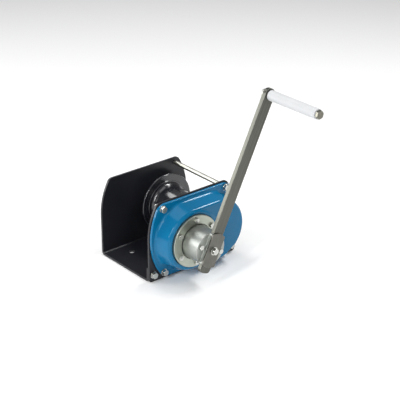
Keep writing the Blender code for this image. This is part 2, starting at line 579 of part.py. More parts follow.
def pawl_and_spring(low, high):
    """The pawl that stops the ratchet wheel from letting rope out, its pin and its coil spring."""
    pivot = polar((0.0, 0.0), PAWL_PIVOT_RADIUS, PAWL_PIVOT_ANGLE)
    joint = joint_axis("pawl_axis", (CRANK_AXIS[0] + pivot[0], CRANK_AXIS[1] + pivot[1]))
    nose = [(29.9, 168.6), (33.2, 160.0), (38.6, 146.0)]
    inner = [polar((0.0, 0.0), radius, math.radians(angle)) for radius, angle in nose]
    outer = polar((0.0, 0.0), 38.5, math.radians(168.6))
    outline = inner + arc(pivot, 7.5, -60.0, 190.0, 12) + [outer]
    outline = [(y - pivot[0], z - pivot[1]) for y, z in outline]
    pawl = lofted("pawl", [(low, outline), (high, outline)], GEAR_STEEL, joint)
    drill(pawl, "pawl_bore", [((0.0, 0.0), 4.3)], low - 1, high + 1, 16, joint)
    pin = [(0.0, high + 1.6), (4.0, high + 1.6), (4.0, low - GAP), (5.4, low - GAP), (5.4, RIGHT + GAP), (4.0, RIGHT + GAP)]
    pin += [(4.0, RIGHT - PLATE - 1), (0.0, RIGHT - PLATE - 1)]
    turned("pawl_pin", pin, GEAR_STEEL, (0.0, 0.0), 16, joint)
    turns, wire, coil = 3, 0.8, 6.9
    route = bpy.data.curves.new("pawl_spring", "CURVE")
    route.dimensions = "3D"
    route.bevel_depth = wire * MM
    route.bevel_resolution = 2
    route.use_fill_caps = True
    spline = route.splines.new("POLY")
    steps = turns * 12
    spline.points.add(steps)
    for i in range(steps + 1):
        angle = 2 * math.pi * i / 12
        x = RIGHT + 9.0 + 9.0 * i / steps
        spline.points[i].co = (x * MM, coil * math.cos(angle) * MM, coil * math.sin(angle) * MM, 1.0)
    spring = bpy.data.objects.new("pawl_spring", route)
    route.materials.append(ZINC)
    spring.parent = joint
    PARTS.objects.link(spring)


def hub_flange():
    """The bearing flange that closes the cover and carries the crank hub in a bronze bush."""
    profile = [(37.5, FLANGE_FRONT), (54.2, FLANGE_FRONT), (55.0, FLANGE_FRONT - 0.8), (55.0, SEAT + GAP), (36.6, SEAT + GAP)]
    profile += [(36.6, RIGHT + 31.4), (27.0, RIGHT + 31.4), (27.0, RIGHT + 40.0), (37.5, RIGHT + 40.0)]
    profile = profile[1:] + profile[:1]
    flange = turned("hub_flange", profile, ZINC, CRANK_AXIS, 36)
    for i in range(6):
        centre = polar(CRANK_AXIS, FLANGE_BOLT_CIRCLE, math.radians(30 + 60 * i))
        drill(flange, f"flange_hole_{i}", [(centre, M6["hole"])], SEAT - 1, FLANGE_FRONT + 1, 12)
        bolt(f"flange_bolt_{i + 1}", M6, centre, FLANGE_FRONT + GAP, COVER_FRONT - 2.0)
    sleeve = [(26.7, RIGHT + 39.7), (26.7, RIGHT + 32.0), (SPIGOT + GAP, RIGHT + 32.0), (SPIGOT + GAP, RIGHT + 39.7)]
    turned("hub_bush", sleeve, BRONZE, CRANK_AXIS, 28)


def crank(hub_back):
    """Crank hub, the bar across its end face under a clamp plate, and the grip on its axle."""
    middle = (0.0, 0.0)
    big_low = RIGHT + 40.9
    profile = [(HUB_RADIUS, RAIL_TOP), (HUB_RADIUS, big_low + 0.8), (HUB_RADIUS - 0.8, big_low), (SPIGOT, big_low), (SPIGOT, hub_back)]
    profile += [(THREAD + GAP, hub_back), (THREAD + GAP, RIGHT + 70.6), (M8["hole"], RIGHT + 70.6), (M8["hole"], RAIL_TOP)]
    hub = turned("crank_hub", profile, ZINC, middle, 36, CRANK_JOINT)
    rail = 17.0
    for name, low_y, high_y, floor in (
        ("land_front", -50.0, -rail, HUB_END),
        ("land_rear", rail, 50.0, HUB_END),
        ("arm_slot", -ARM_WIDTH / 2 - GAP, ARM_WIDTH / 2 + GAP, ARM_BACK - GAP),
    ):
        outline = rectangle(low_y, high_y, -50.0, 50.0)
        cut(hub, lofted(name, [(floor, outline), (RAIL_TOP + 5, outline)], ZINC, CRANK_JOINT, CUTTERS))
    for number, y in enumerate((-HUB_BOLT_OFFSET, HUB_BOLT_OFFSET)):
        drill(hub, f"hub_thread_{number}", [((y, 0.0), M6["hole"])], HUB_END - 14, HUB_END + 2, 12, CRANK_JOINT)
        bolt(f"hub_bolt_{number + 1}", M6, (y, 0.0), HUB_END + GAP, HUB_END - 12, CRANK_JOINT)

    half = ARM_WIDTH / 2
    tail = math.sqrt(ARM_TAIL**2 - half**2)
    end_angle = math.degrees(math.asin(half / ARM_TAIL))
    outline = arc(middle, ARM_TAIL, 270.0 - end_angle, 270.0 + end_angle, 7)
    outline += arc((0.0, CRANK_RADIUS), half, 0.0, 180.0, 13)
    arm = lofted("crank_arm", [(ARM_BACK, outline), (ARM_FRONT, outline)], BAR_STEEL, CRANK_JOINT)
    drill(arm, "arm_hole", [(middle, M8["hole"]), ((0.0, CRANK_RADIUS), 5.4)], ARM_BACK - 2, ARM_FRONT + 2, 16, CRANK_JOINT)

    side = 16.8
    reach = math.degrees(math.acos(side / HUB_RADIUS))
    outline = arc(middle, HUB_RADIUS, reach, 180.0 - reach, 9) + arc(middle, HUB_RADIUS, 180.0 + reach, 360.0 - reach, 9)
    clamp = lofted("arm_clamp_plate", [(CLAMP_BACK, outline), (CLAMP_FRONT, outline)], BAR_STEEL, CRANK_JOINT)
    drill(clamp, "clamp_hole", [(middle, M8["hole"])], CLAMP_BACK - 2, CLAMP_FRONT + 2, 16, CRANK_JOINT)
    washer_low = CLAMP_FRONT + GAP
    washer = [(8.5, washer_low + 1.6), (8.5, washer_low), (M8["hole"], washer_low), (M8["hole"], washer_low + 1.6)]
    turned("crank_centre_washer", washer, ZINC, middle, 20, CRANK_JOINT)
    plain = dict(M8, washer=0.0, washer_height=0.0)
    bolt("crank_centre_bolt", plain, middle, washer_low + 1.6 + GAP, RIGHT + 55.0, CRANK_JOINT)

    end = (0.0, CRANK_RADIUS)
    grip_joint = joint_axis("grip_axis", end)
    grip_joint.parent = CRANK_JOINT
    grip_low = ARM_FRONT + GAP + 1.2 + GAP
    grip_high = grip_low + GRIP_LENGTH
    washer = [(9.5, grip_low - GAP), (9.5, ARM_FRONT + GAP), (5.4, ARM_FRONT + GAP), (5.4, grip_low - GAP)]
    turned("grip_washer", washer, ZINC, end, 20, CRANK_JOINT)
    sleeve = [(GRIP_RADIUS - 1.5, grip_high), (GRIP_RADIUS, grip_high - 1.5), (GRIP_RADIUS, grip_low + 1.0)]
    sleeve += [(GRIP_RADIUS - 1.0, grip_low), (5.4, grip_low), (5.4, grip_high)]
    turned("grip", sleeve, NYLON, (0.0, 0.0), 28, grip_joint)
    m10 = {"shank": 5.0, "hole": 5.4, "flats": 16.0, "head": 6.0, "washer": 0.0, "washer_height": 0.0}
    bolt("grip_axle", m10, end, grip_high + GAP, ARM_BACK - 10.5, CRANK_JOINT)
    nut("grip_axle_nut", m10, end, ARM_BACK - GAP - 8.0, ARM_BACK - GAP, CRANK_JOINT)


base_frame()
right_side()
tie_rod()
cover()
rope_drum()
hub_back = drive_shaft()
hub_flange()
crank(hub_back)
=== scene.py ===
import json
import math

import bmesh
import bpy
from mathutils import Matrix, Vector


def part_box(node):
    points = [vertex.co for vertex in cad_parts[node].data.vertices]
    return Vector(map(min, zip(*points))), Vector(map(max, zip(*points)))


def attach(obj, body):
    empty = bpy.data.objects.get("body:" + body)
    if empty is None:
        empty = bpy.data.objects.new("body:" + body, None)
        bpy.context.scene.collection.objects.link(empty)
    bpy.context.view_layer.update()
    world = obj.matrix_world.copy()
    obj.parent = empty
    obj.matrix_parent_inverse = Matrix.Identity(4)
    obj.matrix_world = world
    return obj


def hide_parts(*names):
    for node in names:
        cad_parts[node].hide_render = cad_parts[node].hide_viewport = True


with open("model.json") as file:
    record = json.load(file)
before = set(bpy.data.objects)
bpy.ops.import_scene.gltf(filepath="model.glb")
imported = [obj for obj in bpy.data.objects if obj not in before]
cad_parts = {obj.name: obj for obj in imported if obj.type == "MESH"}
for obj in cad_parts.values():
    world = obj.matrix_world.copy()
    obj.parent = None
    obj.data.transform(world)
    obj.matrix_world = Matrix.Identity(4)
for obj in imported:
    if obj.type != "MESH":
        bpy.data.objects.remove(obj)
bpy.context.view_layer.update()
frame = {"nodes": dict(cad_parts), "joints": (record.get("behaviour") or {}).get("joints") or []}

# Blender starts with objects of its own, which aren't part of the winch
for leftover in ("Cube", "Light", "Camera"):
    if leftover in bpy.data.objects:
        bpy.data.objects.remove(bpy.data.objects[leftover])


# --- Frame -------------------------------------------------------------------------------------
# The base and the left side are one 4.5 mm steel plate, bent, drilled and painted black. The right
# side is a second plate, bolted to a lip on the base. The sheared edges are broken by hand, and the
# lighter colour along them is a painted edge highlight.

mm = 0.001
nodes = frame["nodes"]


def new_group(name, inputs, outputs):
    """An empty node group; each input and output is (socket name, socket type, default)."""
    group = bpy.data.node_groups.new(name, "ShaderNodeTree")
    for direction, sockets in (("INPUT", inputs), ("OUTPUT", outputs)):
        for label, kind, default in sockets:
            socket = group.interface.new_socket(name=label, in_out=direction, socket_type=kind)
            if default is not None:
                socket.default_value = default
    start = group.nodes.new("NodeGroupInput")
    end = group.nodes.new("NodeGroupOutput")
    return group, start, end


def node(tree, kind, settings=None, **values):
    """Adds a node, sets its properties and its sockets' constants, and returns it."""
    made = tree.nodes.new(kind)
    for key, value in (settings or {}).items():
        setattr(made, key, value)
    for key, value in values.items():
        made.inputs[key.replace("_", " ")].default_value = value
    return made


# Where a bevelled normal leaves the face's own normal, an edge is near: paint and plating are thin,
# and on the black plates the lighter edge colour there is a painted edge highlight.
edge_wear_and_highlight, start, end = new_group(
    "edge_wear_and_highlight", [("Radius", "NodeSocketFloat", 0.0012)], [("Mask", "NodeSocketFloat", None)]
)
rounded = node(edge_wear_and_highlight, "ShaderNodeBevel", {"samples": 4})
surface = node(edge_wear_and_highlight, "ShaderNodeNewGeometry")
facing = node(edge_wear_and_highlight, "ShaderNodeVectorMath", {"operation": "DOT_PRODUCT"})
spread = node(edge_wear_and_highlight, "ShaderNodeMapRange", From_Min=0.995, From_Max=0.86, To_Min=0.0, To_Max=1.0)
edge_wear_and_highlight.links.new(start.outputs["Radius"], rounded.inputs["Radius"])
edge_wear_and_highlight.links.new(rounded.outputs["Normal"], facing.inputs[0])
edge_wear_and_highlight.links.new(surface.outputs["Normal"], facing.inputs[1])
edge_wear_and_highlight.links.new(facing.outputs["Value"], spread.inputs["Value"])
edge_wear_and_highlight.links.new(spread.outputs["Result"], end.inputs["Mask"])

# Two scales of unevenness in any finish: a fine grain, and the broad clouds of handling and flow.
uneven_finish, start, end = new_group(
    "uneven_finish",
    [("Place", "NodeSocketVector", None), ("Grain Size", "NodeSocketFloat", 600.0),
     ("Cloud Size", "NodeSocketFloat", 18.0)],
    [("Grain", "NodeSocketFloat", None), ("Clouds", "NodeSocketFloat", None)],
)
for label, detail in (("Grain", 3.0), ("Clouds", 4.0)):
    speckle = node(uneven_finish, "ShaderNodeTexNoise", Detail=detail, Roughness=0.55)
    size = start.outputs["Grain Size" if label == "Grain" else "Cloud Size"]
    uneven_finish.links.new(start.outputs["Place"], speckle.inputs["Vector"])
    uneven_finish.links.new(size, speckle.inputs["Scale"])
    uneven_finish.links.new(speckle.outputs["Fac"], end.inputs[label])

# Rings left by a lathe tool: they follow the radius and the depth along the shaft, not the angle.
lathe_rings, start, end = new_group(
    "lathe_rings",
    [("Place", "NodeSocketVector", None), ("Pitch", "NodeSocketFloat", 900.0)],
    [("Rings", "NodeSocketFloat", None)],
)
split = node(lathe_rings, "ShaderNodeSeparateXYZ")
across = node(lathe_rings, "ShaderNodeCombineXYZ")
radius = node(lathe_rings, "ShaderNodeVectorMath", {"operation": "LENGTH"})
unrolled = node(lathe_rings, "ShaderNodeCombineXYZ")
rings = node(lathe_rings, "ShaderNodeTexNoise", Detail=3.0, Roughness=0.65)
lathe_rings.links.new(start.outputs["Place"], split.inputs["Vector"])
for label in ("Y", "Z"):
    lathe_rings.links.new(split.outputs[label], across.inputs[label])
lathe_rings.links.new(across.outputs["Vector"], radius.inputs[0])
lathe_rings.links.new(split.outputs["X"], unrolled.inputs["X"])
lathe_rings.links.new(radius.outputs["Value"], unrolled.inputs["Y"])
lathe_rings.links.new(unrolled.outputs["Vector"], rings.inputs["Vector"])
lathe_rings.links.new(start.outputs["Pitch"], rings.inputs["Scale"])
lathe_rings.links.new(rings.outputs["Fac"], end.inputs["Rings"])

grain_share = 0.45  # the clouds make the rest of a colour's change
relief_depth = 0.4 * mm


def pattern_space(tree, place, stretch):
    """Where a pattern is read: the object's own space, centred, turned or stretched."""
    where = node(tree, "ShaderNodeTexCoord").outputs["Object"]
    if place is None and stretch is None:
        return where
    mapping = node(tree, "ShaderNodeMapping", {"vector_type": "TEXTURE"})
    if place is not None:
        mapping.inputs["Location"].default_value = place.to_translation()
        mapping.inputs["Rotation"].default_value = place.to_euler()
    if stretch is not None:
        mapping.inputs["Scale"].default_value = stretch
    tree.links.new(where, mapping.inputs["Vector"])
    return mapping.outputs["Vector"]


def mix_edge_wear_and_highlight(tree, colour, clouds, edge, edge_radius):
    """Mixes the edge colour in along the edges, broken up by the clouds: worn paint and plating, and
    a painted edge highlight on the black plates.
    """
    edge_mask = node(tree, "ShaderNodeGroup", {"node_tree": edge_wear_and_highlight})
    edge_mask.inputs["Radius"].default_value = edge_radius
    broken = node(tree, "ShaderNodeMath", {"operation": "MULTIPLY"})
    tree.links.new(edge_mask.outputs["Mask"], broken.inputs[0])
    tree.links.new(clouds, broken.inputs[1])
    blend = node(tree, "ShaderNodeMix", {"data_type": "RGBA"})
    # a Mix node has sockets for every kind of value, and only two of them take a colour
    whole, edge_tone = (socket for socket in blend.inputs if socket.type == "RGBA")
    tree.links.new(broken.outputs["Value"], blend.inputs[0])
    tree.links.new(colour, whole)
    edge_tone.default_value = (*edge, 1.0)
    return next(socket for socket in blend.outputs if socket.type == "RGBA")


def finish(name, dark, light, metallic, roughness, edge=None, edge_radius=1.2 * mm, place=None,
           stretch=None, turned=False, grain=600.0, clouds=18.0, bump=0.06, coat=0.0,
           coat_roughness=0.05, mottle=(0.3, 0.7), shine=0.5, shine_tint=(1.0, 1.0, 1.0)):
    """One surface: a colour between dark and light, roughness between two values, a fine relief.

    place centres and turns the pattern, stretch is the grain's length along each axis in metres,
    and a turned surface shows a lathe's rings in place of the grain.
    """
    material = bpy.data.materials.new(name)
    material.use_nodes = True
    tree = material.node_tree
    shader = tree.nodes["Principled BSDF"]
    shader.inputs["Metallic"].default_value = metallic
    shader.inputs["Coat Weight"].default_value = coat
    shader.inputs["Coat Roughness"].default_value = coat_roughness
    shader.inputs["Specular IOR Level"].default_value = shine
    shader.inputs["Specular Tint"].default_value = (*shine_tint, 1.0)

    where = pattern_space(tree, place, stretch)
    unevenness = node(tree, "ShaderNodeGroup", {"node_tree": uneven_finish})
    unevenness.inputs["Grain Size"].default_value = grain
    unevenness.inputs["Cloud Size"].default_value = clouds
    tree.links.new(where, unevenness.inputs["Place"])
    relief = unevenness.outputs["Grain"]
    if turned:
        marks = node(tree, "ShaderNodeGroup", {"node_tree": lathe_rings})
        marks.inputs["Pitch"].default_value = grain
        tree.links.new(where, marks.inputs["Place"])
        relief = marks.outputs["Rings"]

    cloud_part = node(tree, "ShaderNodeMath", {"operation": "MULTIPLY"})
    cloud_part.inputs[1].default_value = 1 - grain_share
    tree.links.new(unevenness.outputs["Clouds"], cloud_part.inputs[0])
    shade = node(tree, "ShaderNodeMath", {"operation": "MULTIPLY_ADD"})
    shade.inputs[1].default_value = grain_share
    tree.links.new(relief, shade.inputs[0])
    tree.links.new(cloud_part.outputs["Value"], shade.inputs[2])

    colours = node(tree, "ShaderNodeValToRGB")
    for stop, position, tone in zip(colours.color_ramp.elements, mottle, (dark, light)):
        stop.position = position
        stop.color = (*tone, 1.0)
    tree.links.new(shade.outputs["Value"], colours.inputs["Fac"])
    colour = colours.outputs["Color"]
    if edge is not None:
        colour = mix_edge_wear_and_highlight(tree, colour, unevenness.outputs["Clouds"], edge, edge_radius)
    tree.links.new(colour, shader.inputs["Base Color"])

    gloss = node(tree, "ShaderNodeMapRange", From_Min=0.3, From_Max=0.7,
                 To_Min=roughness[0], To_Max=roughness[1])
    tree.links.new(shade.outputs["Value"], gloss.inputs["Value"])
    tree.links.new(gloss.outputs["Result"], shader.inputs["Roughness"])
    lift = node(tree, "ShaderNodeBump", Strength=bump, Distance=relief_depth)
    tree.links.new(relief, lift.inputs["Height"])
    tree.links.new(lift.outputs["Normal"], shader.inputs["Normal"])
    return material


same_point = 0.001 * mm  # points nearer than this are one


def cad_copy(name):
    """A copy of a CAD node's mesh with its loose triangles merged back into whole faces."""
    bm = bmesh.new()
    bm.from_mesh(nodes[name].data)
    bmesh.ops.remove_doubles(bm, verts=bm.verts, dist=2 * same_point)
    bmesh.ops.dissolve_limit(bm, angle_limit=math.radians(1.0), verts=bm.verts, edges=bm.edges)
    return bm


def soften(bm, width, angle, segments=2):
    """Breaks every edge sharper than the angle, as a file or a tumbling drum does."""
    limit = math.radians(angle)
    sharp = [e for e in bm.edges if len(e.link_faces) == 2 and e.calc_face_angle(0.0) > limit]
    bmesh.ops.bevel(bm, geom=sharp, offset=width, offset_type="OFFSET", affect="EDGES",
                    segments=segments, profile=0.5, material=-1, clamp_overlap=True)


def piece(name, bm, material, body, slot, *stands_for):
    """Turns a finished bmesh into a piece that rides on a body and stands for its CAD nodes."""
    bmesh.ops.remove_doubles(bm, verts=bm.verts, dist=same_point)
    bmesh.ops.recalc_face_normals(bm, faces=bm.faces)
    mesh = bpy.data.meshes.new(name)
    bm.to_mesh(mesh)
    bm.free()
    # normals that came along from a CAD mesh don't fit the new faces
    if "custom_normal" in mesh.attributes:
        mesh.attributes.remove(mesh.attributes["custom_normal"])
    mesh.materials.clear()
    mesh.materials.append(material)
    mesh.shade_smooth()
    mesh.set_sharp_from_angle(angle=math.radians(38.0))
    obj = bpy.data.objects.new(name, mesh)
    bpy.context.scene.collection.objects.link(obj)
    weighted = obj.modifiers.new("flat faces stay flat", "WEIGHTED_NORMAL")
    weighted.keep_sharp = True
    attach(obj, body)
    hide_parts(*stands_for)


# its lighter edge colour is a painted edge highlight along the plates' sheared edges
black_paint = finish(
    "black_plate_paint", (0.0080, 0.0085, 0.0115), (0.0130, 0.0135, 0.0175), 0.0, (0.32, 0.44),
    edge=(0.026, 0.027, 0.032), grain=900.0, clouds=9.0, bump=0.035, coat=0.10,
    coat_roughness=0.22, shine=0.36,
)
sheared_edge = 0.45 * mm
for name, node_name in (
    ("bent_plate_frame", "base_frame"), ("crank_side_plate", "right_side_plate"),
):
    plate = cad_copy(node_name)
    soften(plate, sheared_edge, 35.0)
    piece(name, plate, black_paint, "frame", "black_paint", node_name)


# --- Gear cover --------------------------------------------------------------------------------
# A die-cast cover round both shafts, painted glossy blue: a flat rim, a body with a wide fillet at
# its foot and a rounded front, and a low turned boss that the bearing flange sits in. Hollows in
# the body's foot leave room for the spanner at three of the four corner bolts.

spin_axes = {joint["name"]: Vector(joint["pos_m"]) for joint in frame["joints"]}
crank_axis = spin_axes["crank_spin"]
drum_axis = spin_axes["drum_spin"]
cover_low, cover_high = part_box("gear_cover")
plate_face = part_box("right_side_plate")[1].x

rim_back = cover_low.x
rim_front = rim_back + 4.5 * mm
rim_arc, rim_arc_shift, rim_arc_height = 138.5 * mm, 29.0 * mm, 90.0 * mm
upper_corner, lower_corner = 11.0 * mm, 9.0 * mm

body_rear = 37.0 * mm
body_radius = 68.5 * mm
# the wall's ends: how far out from the body's radius, and how far from the side plate
wall_foot, wall_head = (2.73 * mm, 11.1 * mm), (-3.2 * mm, 32.8 * mm)
wall_lean = math.atan(6.5 / 23.8)
foot_radius, edge_radius = 5.0 * mm, 4.5 * mm
round_steps = 8
front_face = plate_face + 37.3 * mm
front_steps = 14

boss_top = cover_high.x
boss_radius = 58.0 * mm
boss_fall, boss_drop = 4.6 * mm, 3.0 * mm
boss_blend = 0.7 * mm
boss_inner = 57.4 * mm
flange_seat = plate_face + 37.2 * mm
hollow_top = plate_face + 31.5 * mm
hollow_radius = 63.0 * mm

corner_bolts = [
    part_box(f"cover_bolt_{corner}") for corner in ("front_bottom", "rear_top", "rear_bottom")
]
pockets = [
    ((low.y + high.y) / 2, (low.z + high.z) / 2, room)
    for (low, high), room in zip(corner_bolts, (17.5 * mm, 17.5 * mm, 14.5 * mm))
]
pocket_ease = 6.0 * mm
pocket_depth = 0.75  # as a share of the full room for the spanner


def furthest(holds, near, far=200 * mm):
    """The longest reach between near and far for which holds(reach) is still true."""
    for _ in range(30):
        middle = (near + far) / 2
        near, far = (middle, far) if holds(middle) else (near, middle)
    return near


def spine_point(spot):
    """The nearest point of the line that joins the two shafts' centres, at the spot's depth."""
    return Vector((spot.x, min(max(spot.y, crank_axis.y), body_rear), crank_axis.z))


def outward(spot):
    """The spine's point next to spot, and the way from it out to spot."""
    spine = spine_point(spot)
    return spine, Vector((0.0, spot.y - spine.y, spot.z - spine.z)).normalized()


def from_crank(spot):
    """The way from the crank's axis out to spot."""
    return Vector((0.0, spot.y - crank_axis.y, spot.z - crank_axis.z)).normalized()


def at(x, centre, way, reach):
    """The point at the depth x that lies a reach along way from the centre."""
    return Vector((x, centre.y + way.y * reach, centre.z + way.z * reach))


def rim_reach(spine, way):
    """How far the rim's edge is from the spine: the rim is two large arcs, cut off flat above and
    below, with rounded corners."""
    def inside(reach):
        y, z = spine.y + way.y * reach, spine.z + way.z * reach
        side = rim_arc - math.hypot(abs(y) + rim_arc_shift, z - rim_arc_height)
        level = min(cover_high.z - z, z - cover_low.z)
        corner = upper_corner if z > spine.z else lower_corner
        if side < corner and level < corner:
            return math.hypot(corner - side, corner - level) < corner
        return min(side, level) > 0
    return furthest(inside, 30 * mm)


shell = bmesh.new()
bmesh.ops.create_circle(
    shell, cap_ends=False, segments=176, radius=body_radius,
    matrix=Matrix.Translation((rim_back, crank_axis.y, crank_axis.z))
    @ Matrix.Rotation(math.pi / 2, 4, "Y"),
)
for vert in shell.verts:
    if vert.co.y > crank_axis.y + same_point:
        vert.co.y += body_rear - crank_axis.y
long_edges = [e for e in shell.edges if e.calc_length() > 20 * mm]
bmesh.ops.subdivide_edges(shell, edges=long_edges, cuts=26, use_grid_fill=False)
first_loop = list(shell.edges)
loop = first_loop


def next_loop(last, place):
    """Extrudes the last loop of edges and moves each new point to place(old spot)."""
    grown = bmesh.ops.extrude_edge_only(shell, edges=last)["geom"]
    for element in grown:
        if isinstance(element, bmesh.types.BMVert):
            element.co = place(element.co.copy())
    return [element for element in grown if isinstance(element, bmesh.types.BMEdge)]


def on_rim(inset, x):
    """Places a loop along the rim's edge, drawn in by the inset."""
    def place(spot):
        spine, way = outward(spot)
        return at(x, spine, way, rim_reach(spine, way) - inset)
    return place


def on_body(offset, x, inset=0.5 * mm):
    """Places a loop round the body, kept off the rim's edge and out of the pockets."""
    def place(spot):
        spine, way = outward(spot)
        spot = at(x, spine, way, min(body_radius + offset, rim_reach(spine, way) - inset))
        for y, z, room in pockets:
            away = Vector((0.0, spot.y - y, spot.z - z))
            lack = room - away.length
            if lack > -pocket_ease and x > rim_front + 0.2 * mm:
                # the push eases in, so that the pocket's edge is rounded
                push = (lack + pocket_ease) ** 2 / (2 * pocket_ease)
                if lack > 0:
                    push = lack + pocket_ease / 2
                spot += away.normalized() * min(push, room) * pocket_depth
        return spot
    return place


def raise_boss(spot):
    """Lifts a point of the front face on to the round boss, where the boss stands higher."""
    distance = math.hypot(spot.y - crank_axis.y, spot.z - crank_axis.z)
    fall = min(max((distance - boss_radius) / boss_fall, 0.0), 1.0)
    gap = boss_top - boss_drop * (1 - math.sqrt(1 - fall * fall)) - spot.x
    if fall < 1.0 and gap > -boss_blend:
        spot.x += gap if gap > boss_blend else (gap + boss_blend) ** 2 / (4 * boss_blend)
    return spot


def on_edge(offset, x):
    """Places a loop round the body's front edge, which the boss runs into on one side."""
    place = on_body(offset, x)
    return lambda spot: raise_boss(place(spot))


def drawn_in(share):
    """Moves each point this share of its way along the front face to the boss's round rim."""
    def place(spot):
        spot = spot.lerp(at(front_face, crank_axis, from_crank(spot), boss_inner), share)
        spot.x = front_face
        return raise_boss(spot)
    return place


def on_ring(reach, x):
    """Places a loop on a circle round the crank's axis."""
    return lambda spot: at(x, crank_axis, from_crank(spot), reach)


def on_hollow(reach, x):
    """Places a loop on the hollow's wall: each point goes back to its own side of the body."""
    def place(spot):
        way = from_crank(spot)

        def inside(distance):
            probe = crank_axis + way * distance
            spine = spine_point(probe)
            return math.hypot(probe.y - spine.y, probe.z - spine.z) <= reach
        return at(x, crank_axis, way, furthest(inside, 0.0))
    return place


# the rim: its back edge, rounded front edge and flat face
for inset, x in (
    (0.0, rim_back), (0.0, rim_front - 1.0 * mm), (0.15 * mm, rim_front - 0.5 * mm),
    (0.45 * mm, rim_front - 0.15 * mm), (0.9 * mm, rim_front), (1.5 * mm, rim_front),
):
    loop = next_loop(loop, on_rim(inset, x))
# the foot's concave fillet, then a wall that leans in as it rises
for step in range(round_steps + 1):
    turn = (math.pi / 2 - wall_lean) * step / round_steps
    offset = wall_foot[0] + foot_radius / math.cos(wall_lean) - foot_radius * math.sin(turn)
    height = wall_foot[1] - foot_radius * math.cos(turn)
    loop = next_loop(loop, on_body(offset, plate_face + height, 2.2 * mm))
for share in (0.15, 0.35, 0.55, 0.75, 0.92):
    offset, height = (foot + (head - foot) * share for foot, head in zip(wall_foot, wall_head))
    loop = next_loop(loop, on_body(offset, plate_face + height))
# the rounded front edge, and the flat face within it
for step in range(round_steps + 1):
    turn = wall_lean + (math.pi / 2 - wall_lean) * step / round_steps
    offset = wall_head[0] - edge_radius / math.cos(wall_lean) + edge_radius * math.cos(turn)
    height = wall_head[1] + edge_radius * math.sin(turn)
    loop = next_loop(loop, on_edge(offset, plate_face + height))
for steps_left in range(front_steps, 0, -1):
    loop = next_loop(loop, drawn_in(1.0 / steps_left))
# the counterbore for the flange, the opening, and the cover's hollow inside
for reach, x in (
    (57.0, boss_top), (56.6, boss_top - 0.15 * mm), (56.3, boss_top - 0.5 * mm),
    (56.3, flange_seat + 0.3 * mm), (56.0, flange_seat), (37.4, flange_seat),
    (37.0, flange_seat - 0.4 * mm), (37.0, hollow_top),
):
    loop = next_loop(loop, on_ring(reach * mm, x))
for reach, x in (
    (58.6 * mm, hollow_top), (61.0 * mm, hollow_top - 3.0 * mm), (61.8 * mm, hollow_top - 7.5 * mm),
    (62.8 * mm, plate_face + 8.0 * mm), (hollow_radius, plate_face + 2.0 * mm),
    (hollow_radius, rim_back),
):
    loop = next_loop(loop, on_hollow(reach, x))
bmesh.ops.remove_doubles(shell, verts=shell.verts, dist=0.1 * same_point)
bmesh.ops.bridge_loops(shell, edges=loop + [e for e in first_loop if e.is_valid])
blue_paint = finish(
    "blue_cover_paint", (0.0004, 0.126, 0.272), (0.0008, 0.157, 0.330), 0.0, (0.16, 0.22),
    edge=(0.02, 0.25, 0.47), edge_radius=1.0 * mm, grain=420.0, clouds=11.0, bump=0.015,
    coat=0.34, coat_roughness=0.09, shine=0.22, shine_tint=(0.55, 0.85, 1.0),
)
piece("blue_gear_cover", shell, blue_paint, "frame", "blue_paint", "gear_cover")


# --- Cover gasket ------------------------------------------------------------------------------
# A sheet of dark gasket material, stamped to the rim's outline. The cover's bolts squeeze it
# against the side plate, and it keeps the gears' grease in.

gasket_sheet = finish(
    "gasket_sheet", (0.006, 0.006, 0.007), (0.020, 0.020, 0.021), 0.0, (0.6, 0.8),
    grain=1500.0, clouds=30.0, bump=0.1,
)
gasket = cad_copy("cover_gasket")
piece("cover_gasket_sheet", gasket, gasket_sheet, "frame", "gasket_paper", "cover_gasket")


# --- Cover bolts and nuts ----------------------------------------------------------------------
# Zinc plated hexagon bolts with plain and spring washers clamp the cover and its gasket to the side
# plate: three end in nuts inside the frame and one in the tie rod. Two more hold the side plate to
# the lip of the base.

bright_zinc = finish(
    "bright_zinc", (0.50, 0.51, 0.48), (0.64, 0.65, 0.61), 1.0, (0.14, 0.24),
    edge=(0.85, 0.85, 0.82), edge_radius=0.6 * mm, grain=1100.0, clouds=90.0, bump=0.015,
)
# each thread's width across flats, head height, shank radius and pitch
threads = {
    "M6": (10.0 * mm, 4.0 * mm, 3.0 * mm, 1.0 * mm),
    "M8": (12.0 * mm, 5.2 * mm, 4.0 * mm, 1.25 * mm),
    "M10": (16.0 * mm, 6.0 * mm, 5.0 * mm, 1.5 * mm),
}
root_share = 0.86  # a thread's root radius as a share of its crest's
longest_thread = 18.0 * mm
plain_washer, spring_washer = (7.5 * mm, 0.9 * mm), (6.3 * mm, 0.6 * mm)  # (radius, thickness)
nut_flats, nut_bore = 12.0 * mm, 4.3 * mm


def centre_of(low, high):
    """The middle of a box across the shafts, as (y, z)."""
    return (low.y + high.y) / 2, (low.z + high.z) / 2


def along_x(x, centre, turn=0.0):
    """A matrix that stands a shape made along Z on the depth x, pointing along X."""
    return (Matrix.Translation((x, centre[0], centre[1])) @ Matrix.Rotation(math.pi / 2, 4, "Y")
            @ Matrix.Rotation(turn, 4, "Z"))


def add_disc(bm, centre, low, high, radius, segments=32, turn=0.0):
    """A disc or a hexagon prism between two depths along X."""
    return bmesh.ops.create_cone(
        bm, cap_ends=True, segments=segments, radius1=radius, radius2=radius, depth=high - low,
        matrix=along_x((low + high) / 2, centre, turn),
    )["verts"]


def add_head(bm, centre, base, flats, height, turn):
    """A hexagon head: a thin bearing face, the prism, and corners chamfered on the outer end."""
    face, top = base + 0.4 * mm, base + height
    add_disc(bm, centre, base, face, flats * 0.475)
    corners = add_disc(bm, centre, face, top, flats / math.sqrt(3), 6, turn)
    outer = [v for v in corners if abs(v.co.x - top) < same_point]
    bmesh.ops.bevel(bm, geom=outer, offset=flats * 0.11, affect="VERTICES", segments=1,
                    profile=0.5, material=-1)


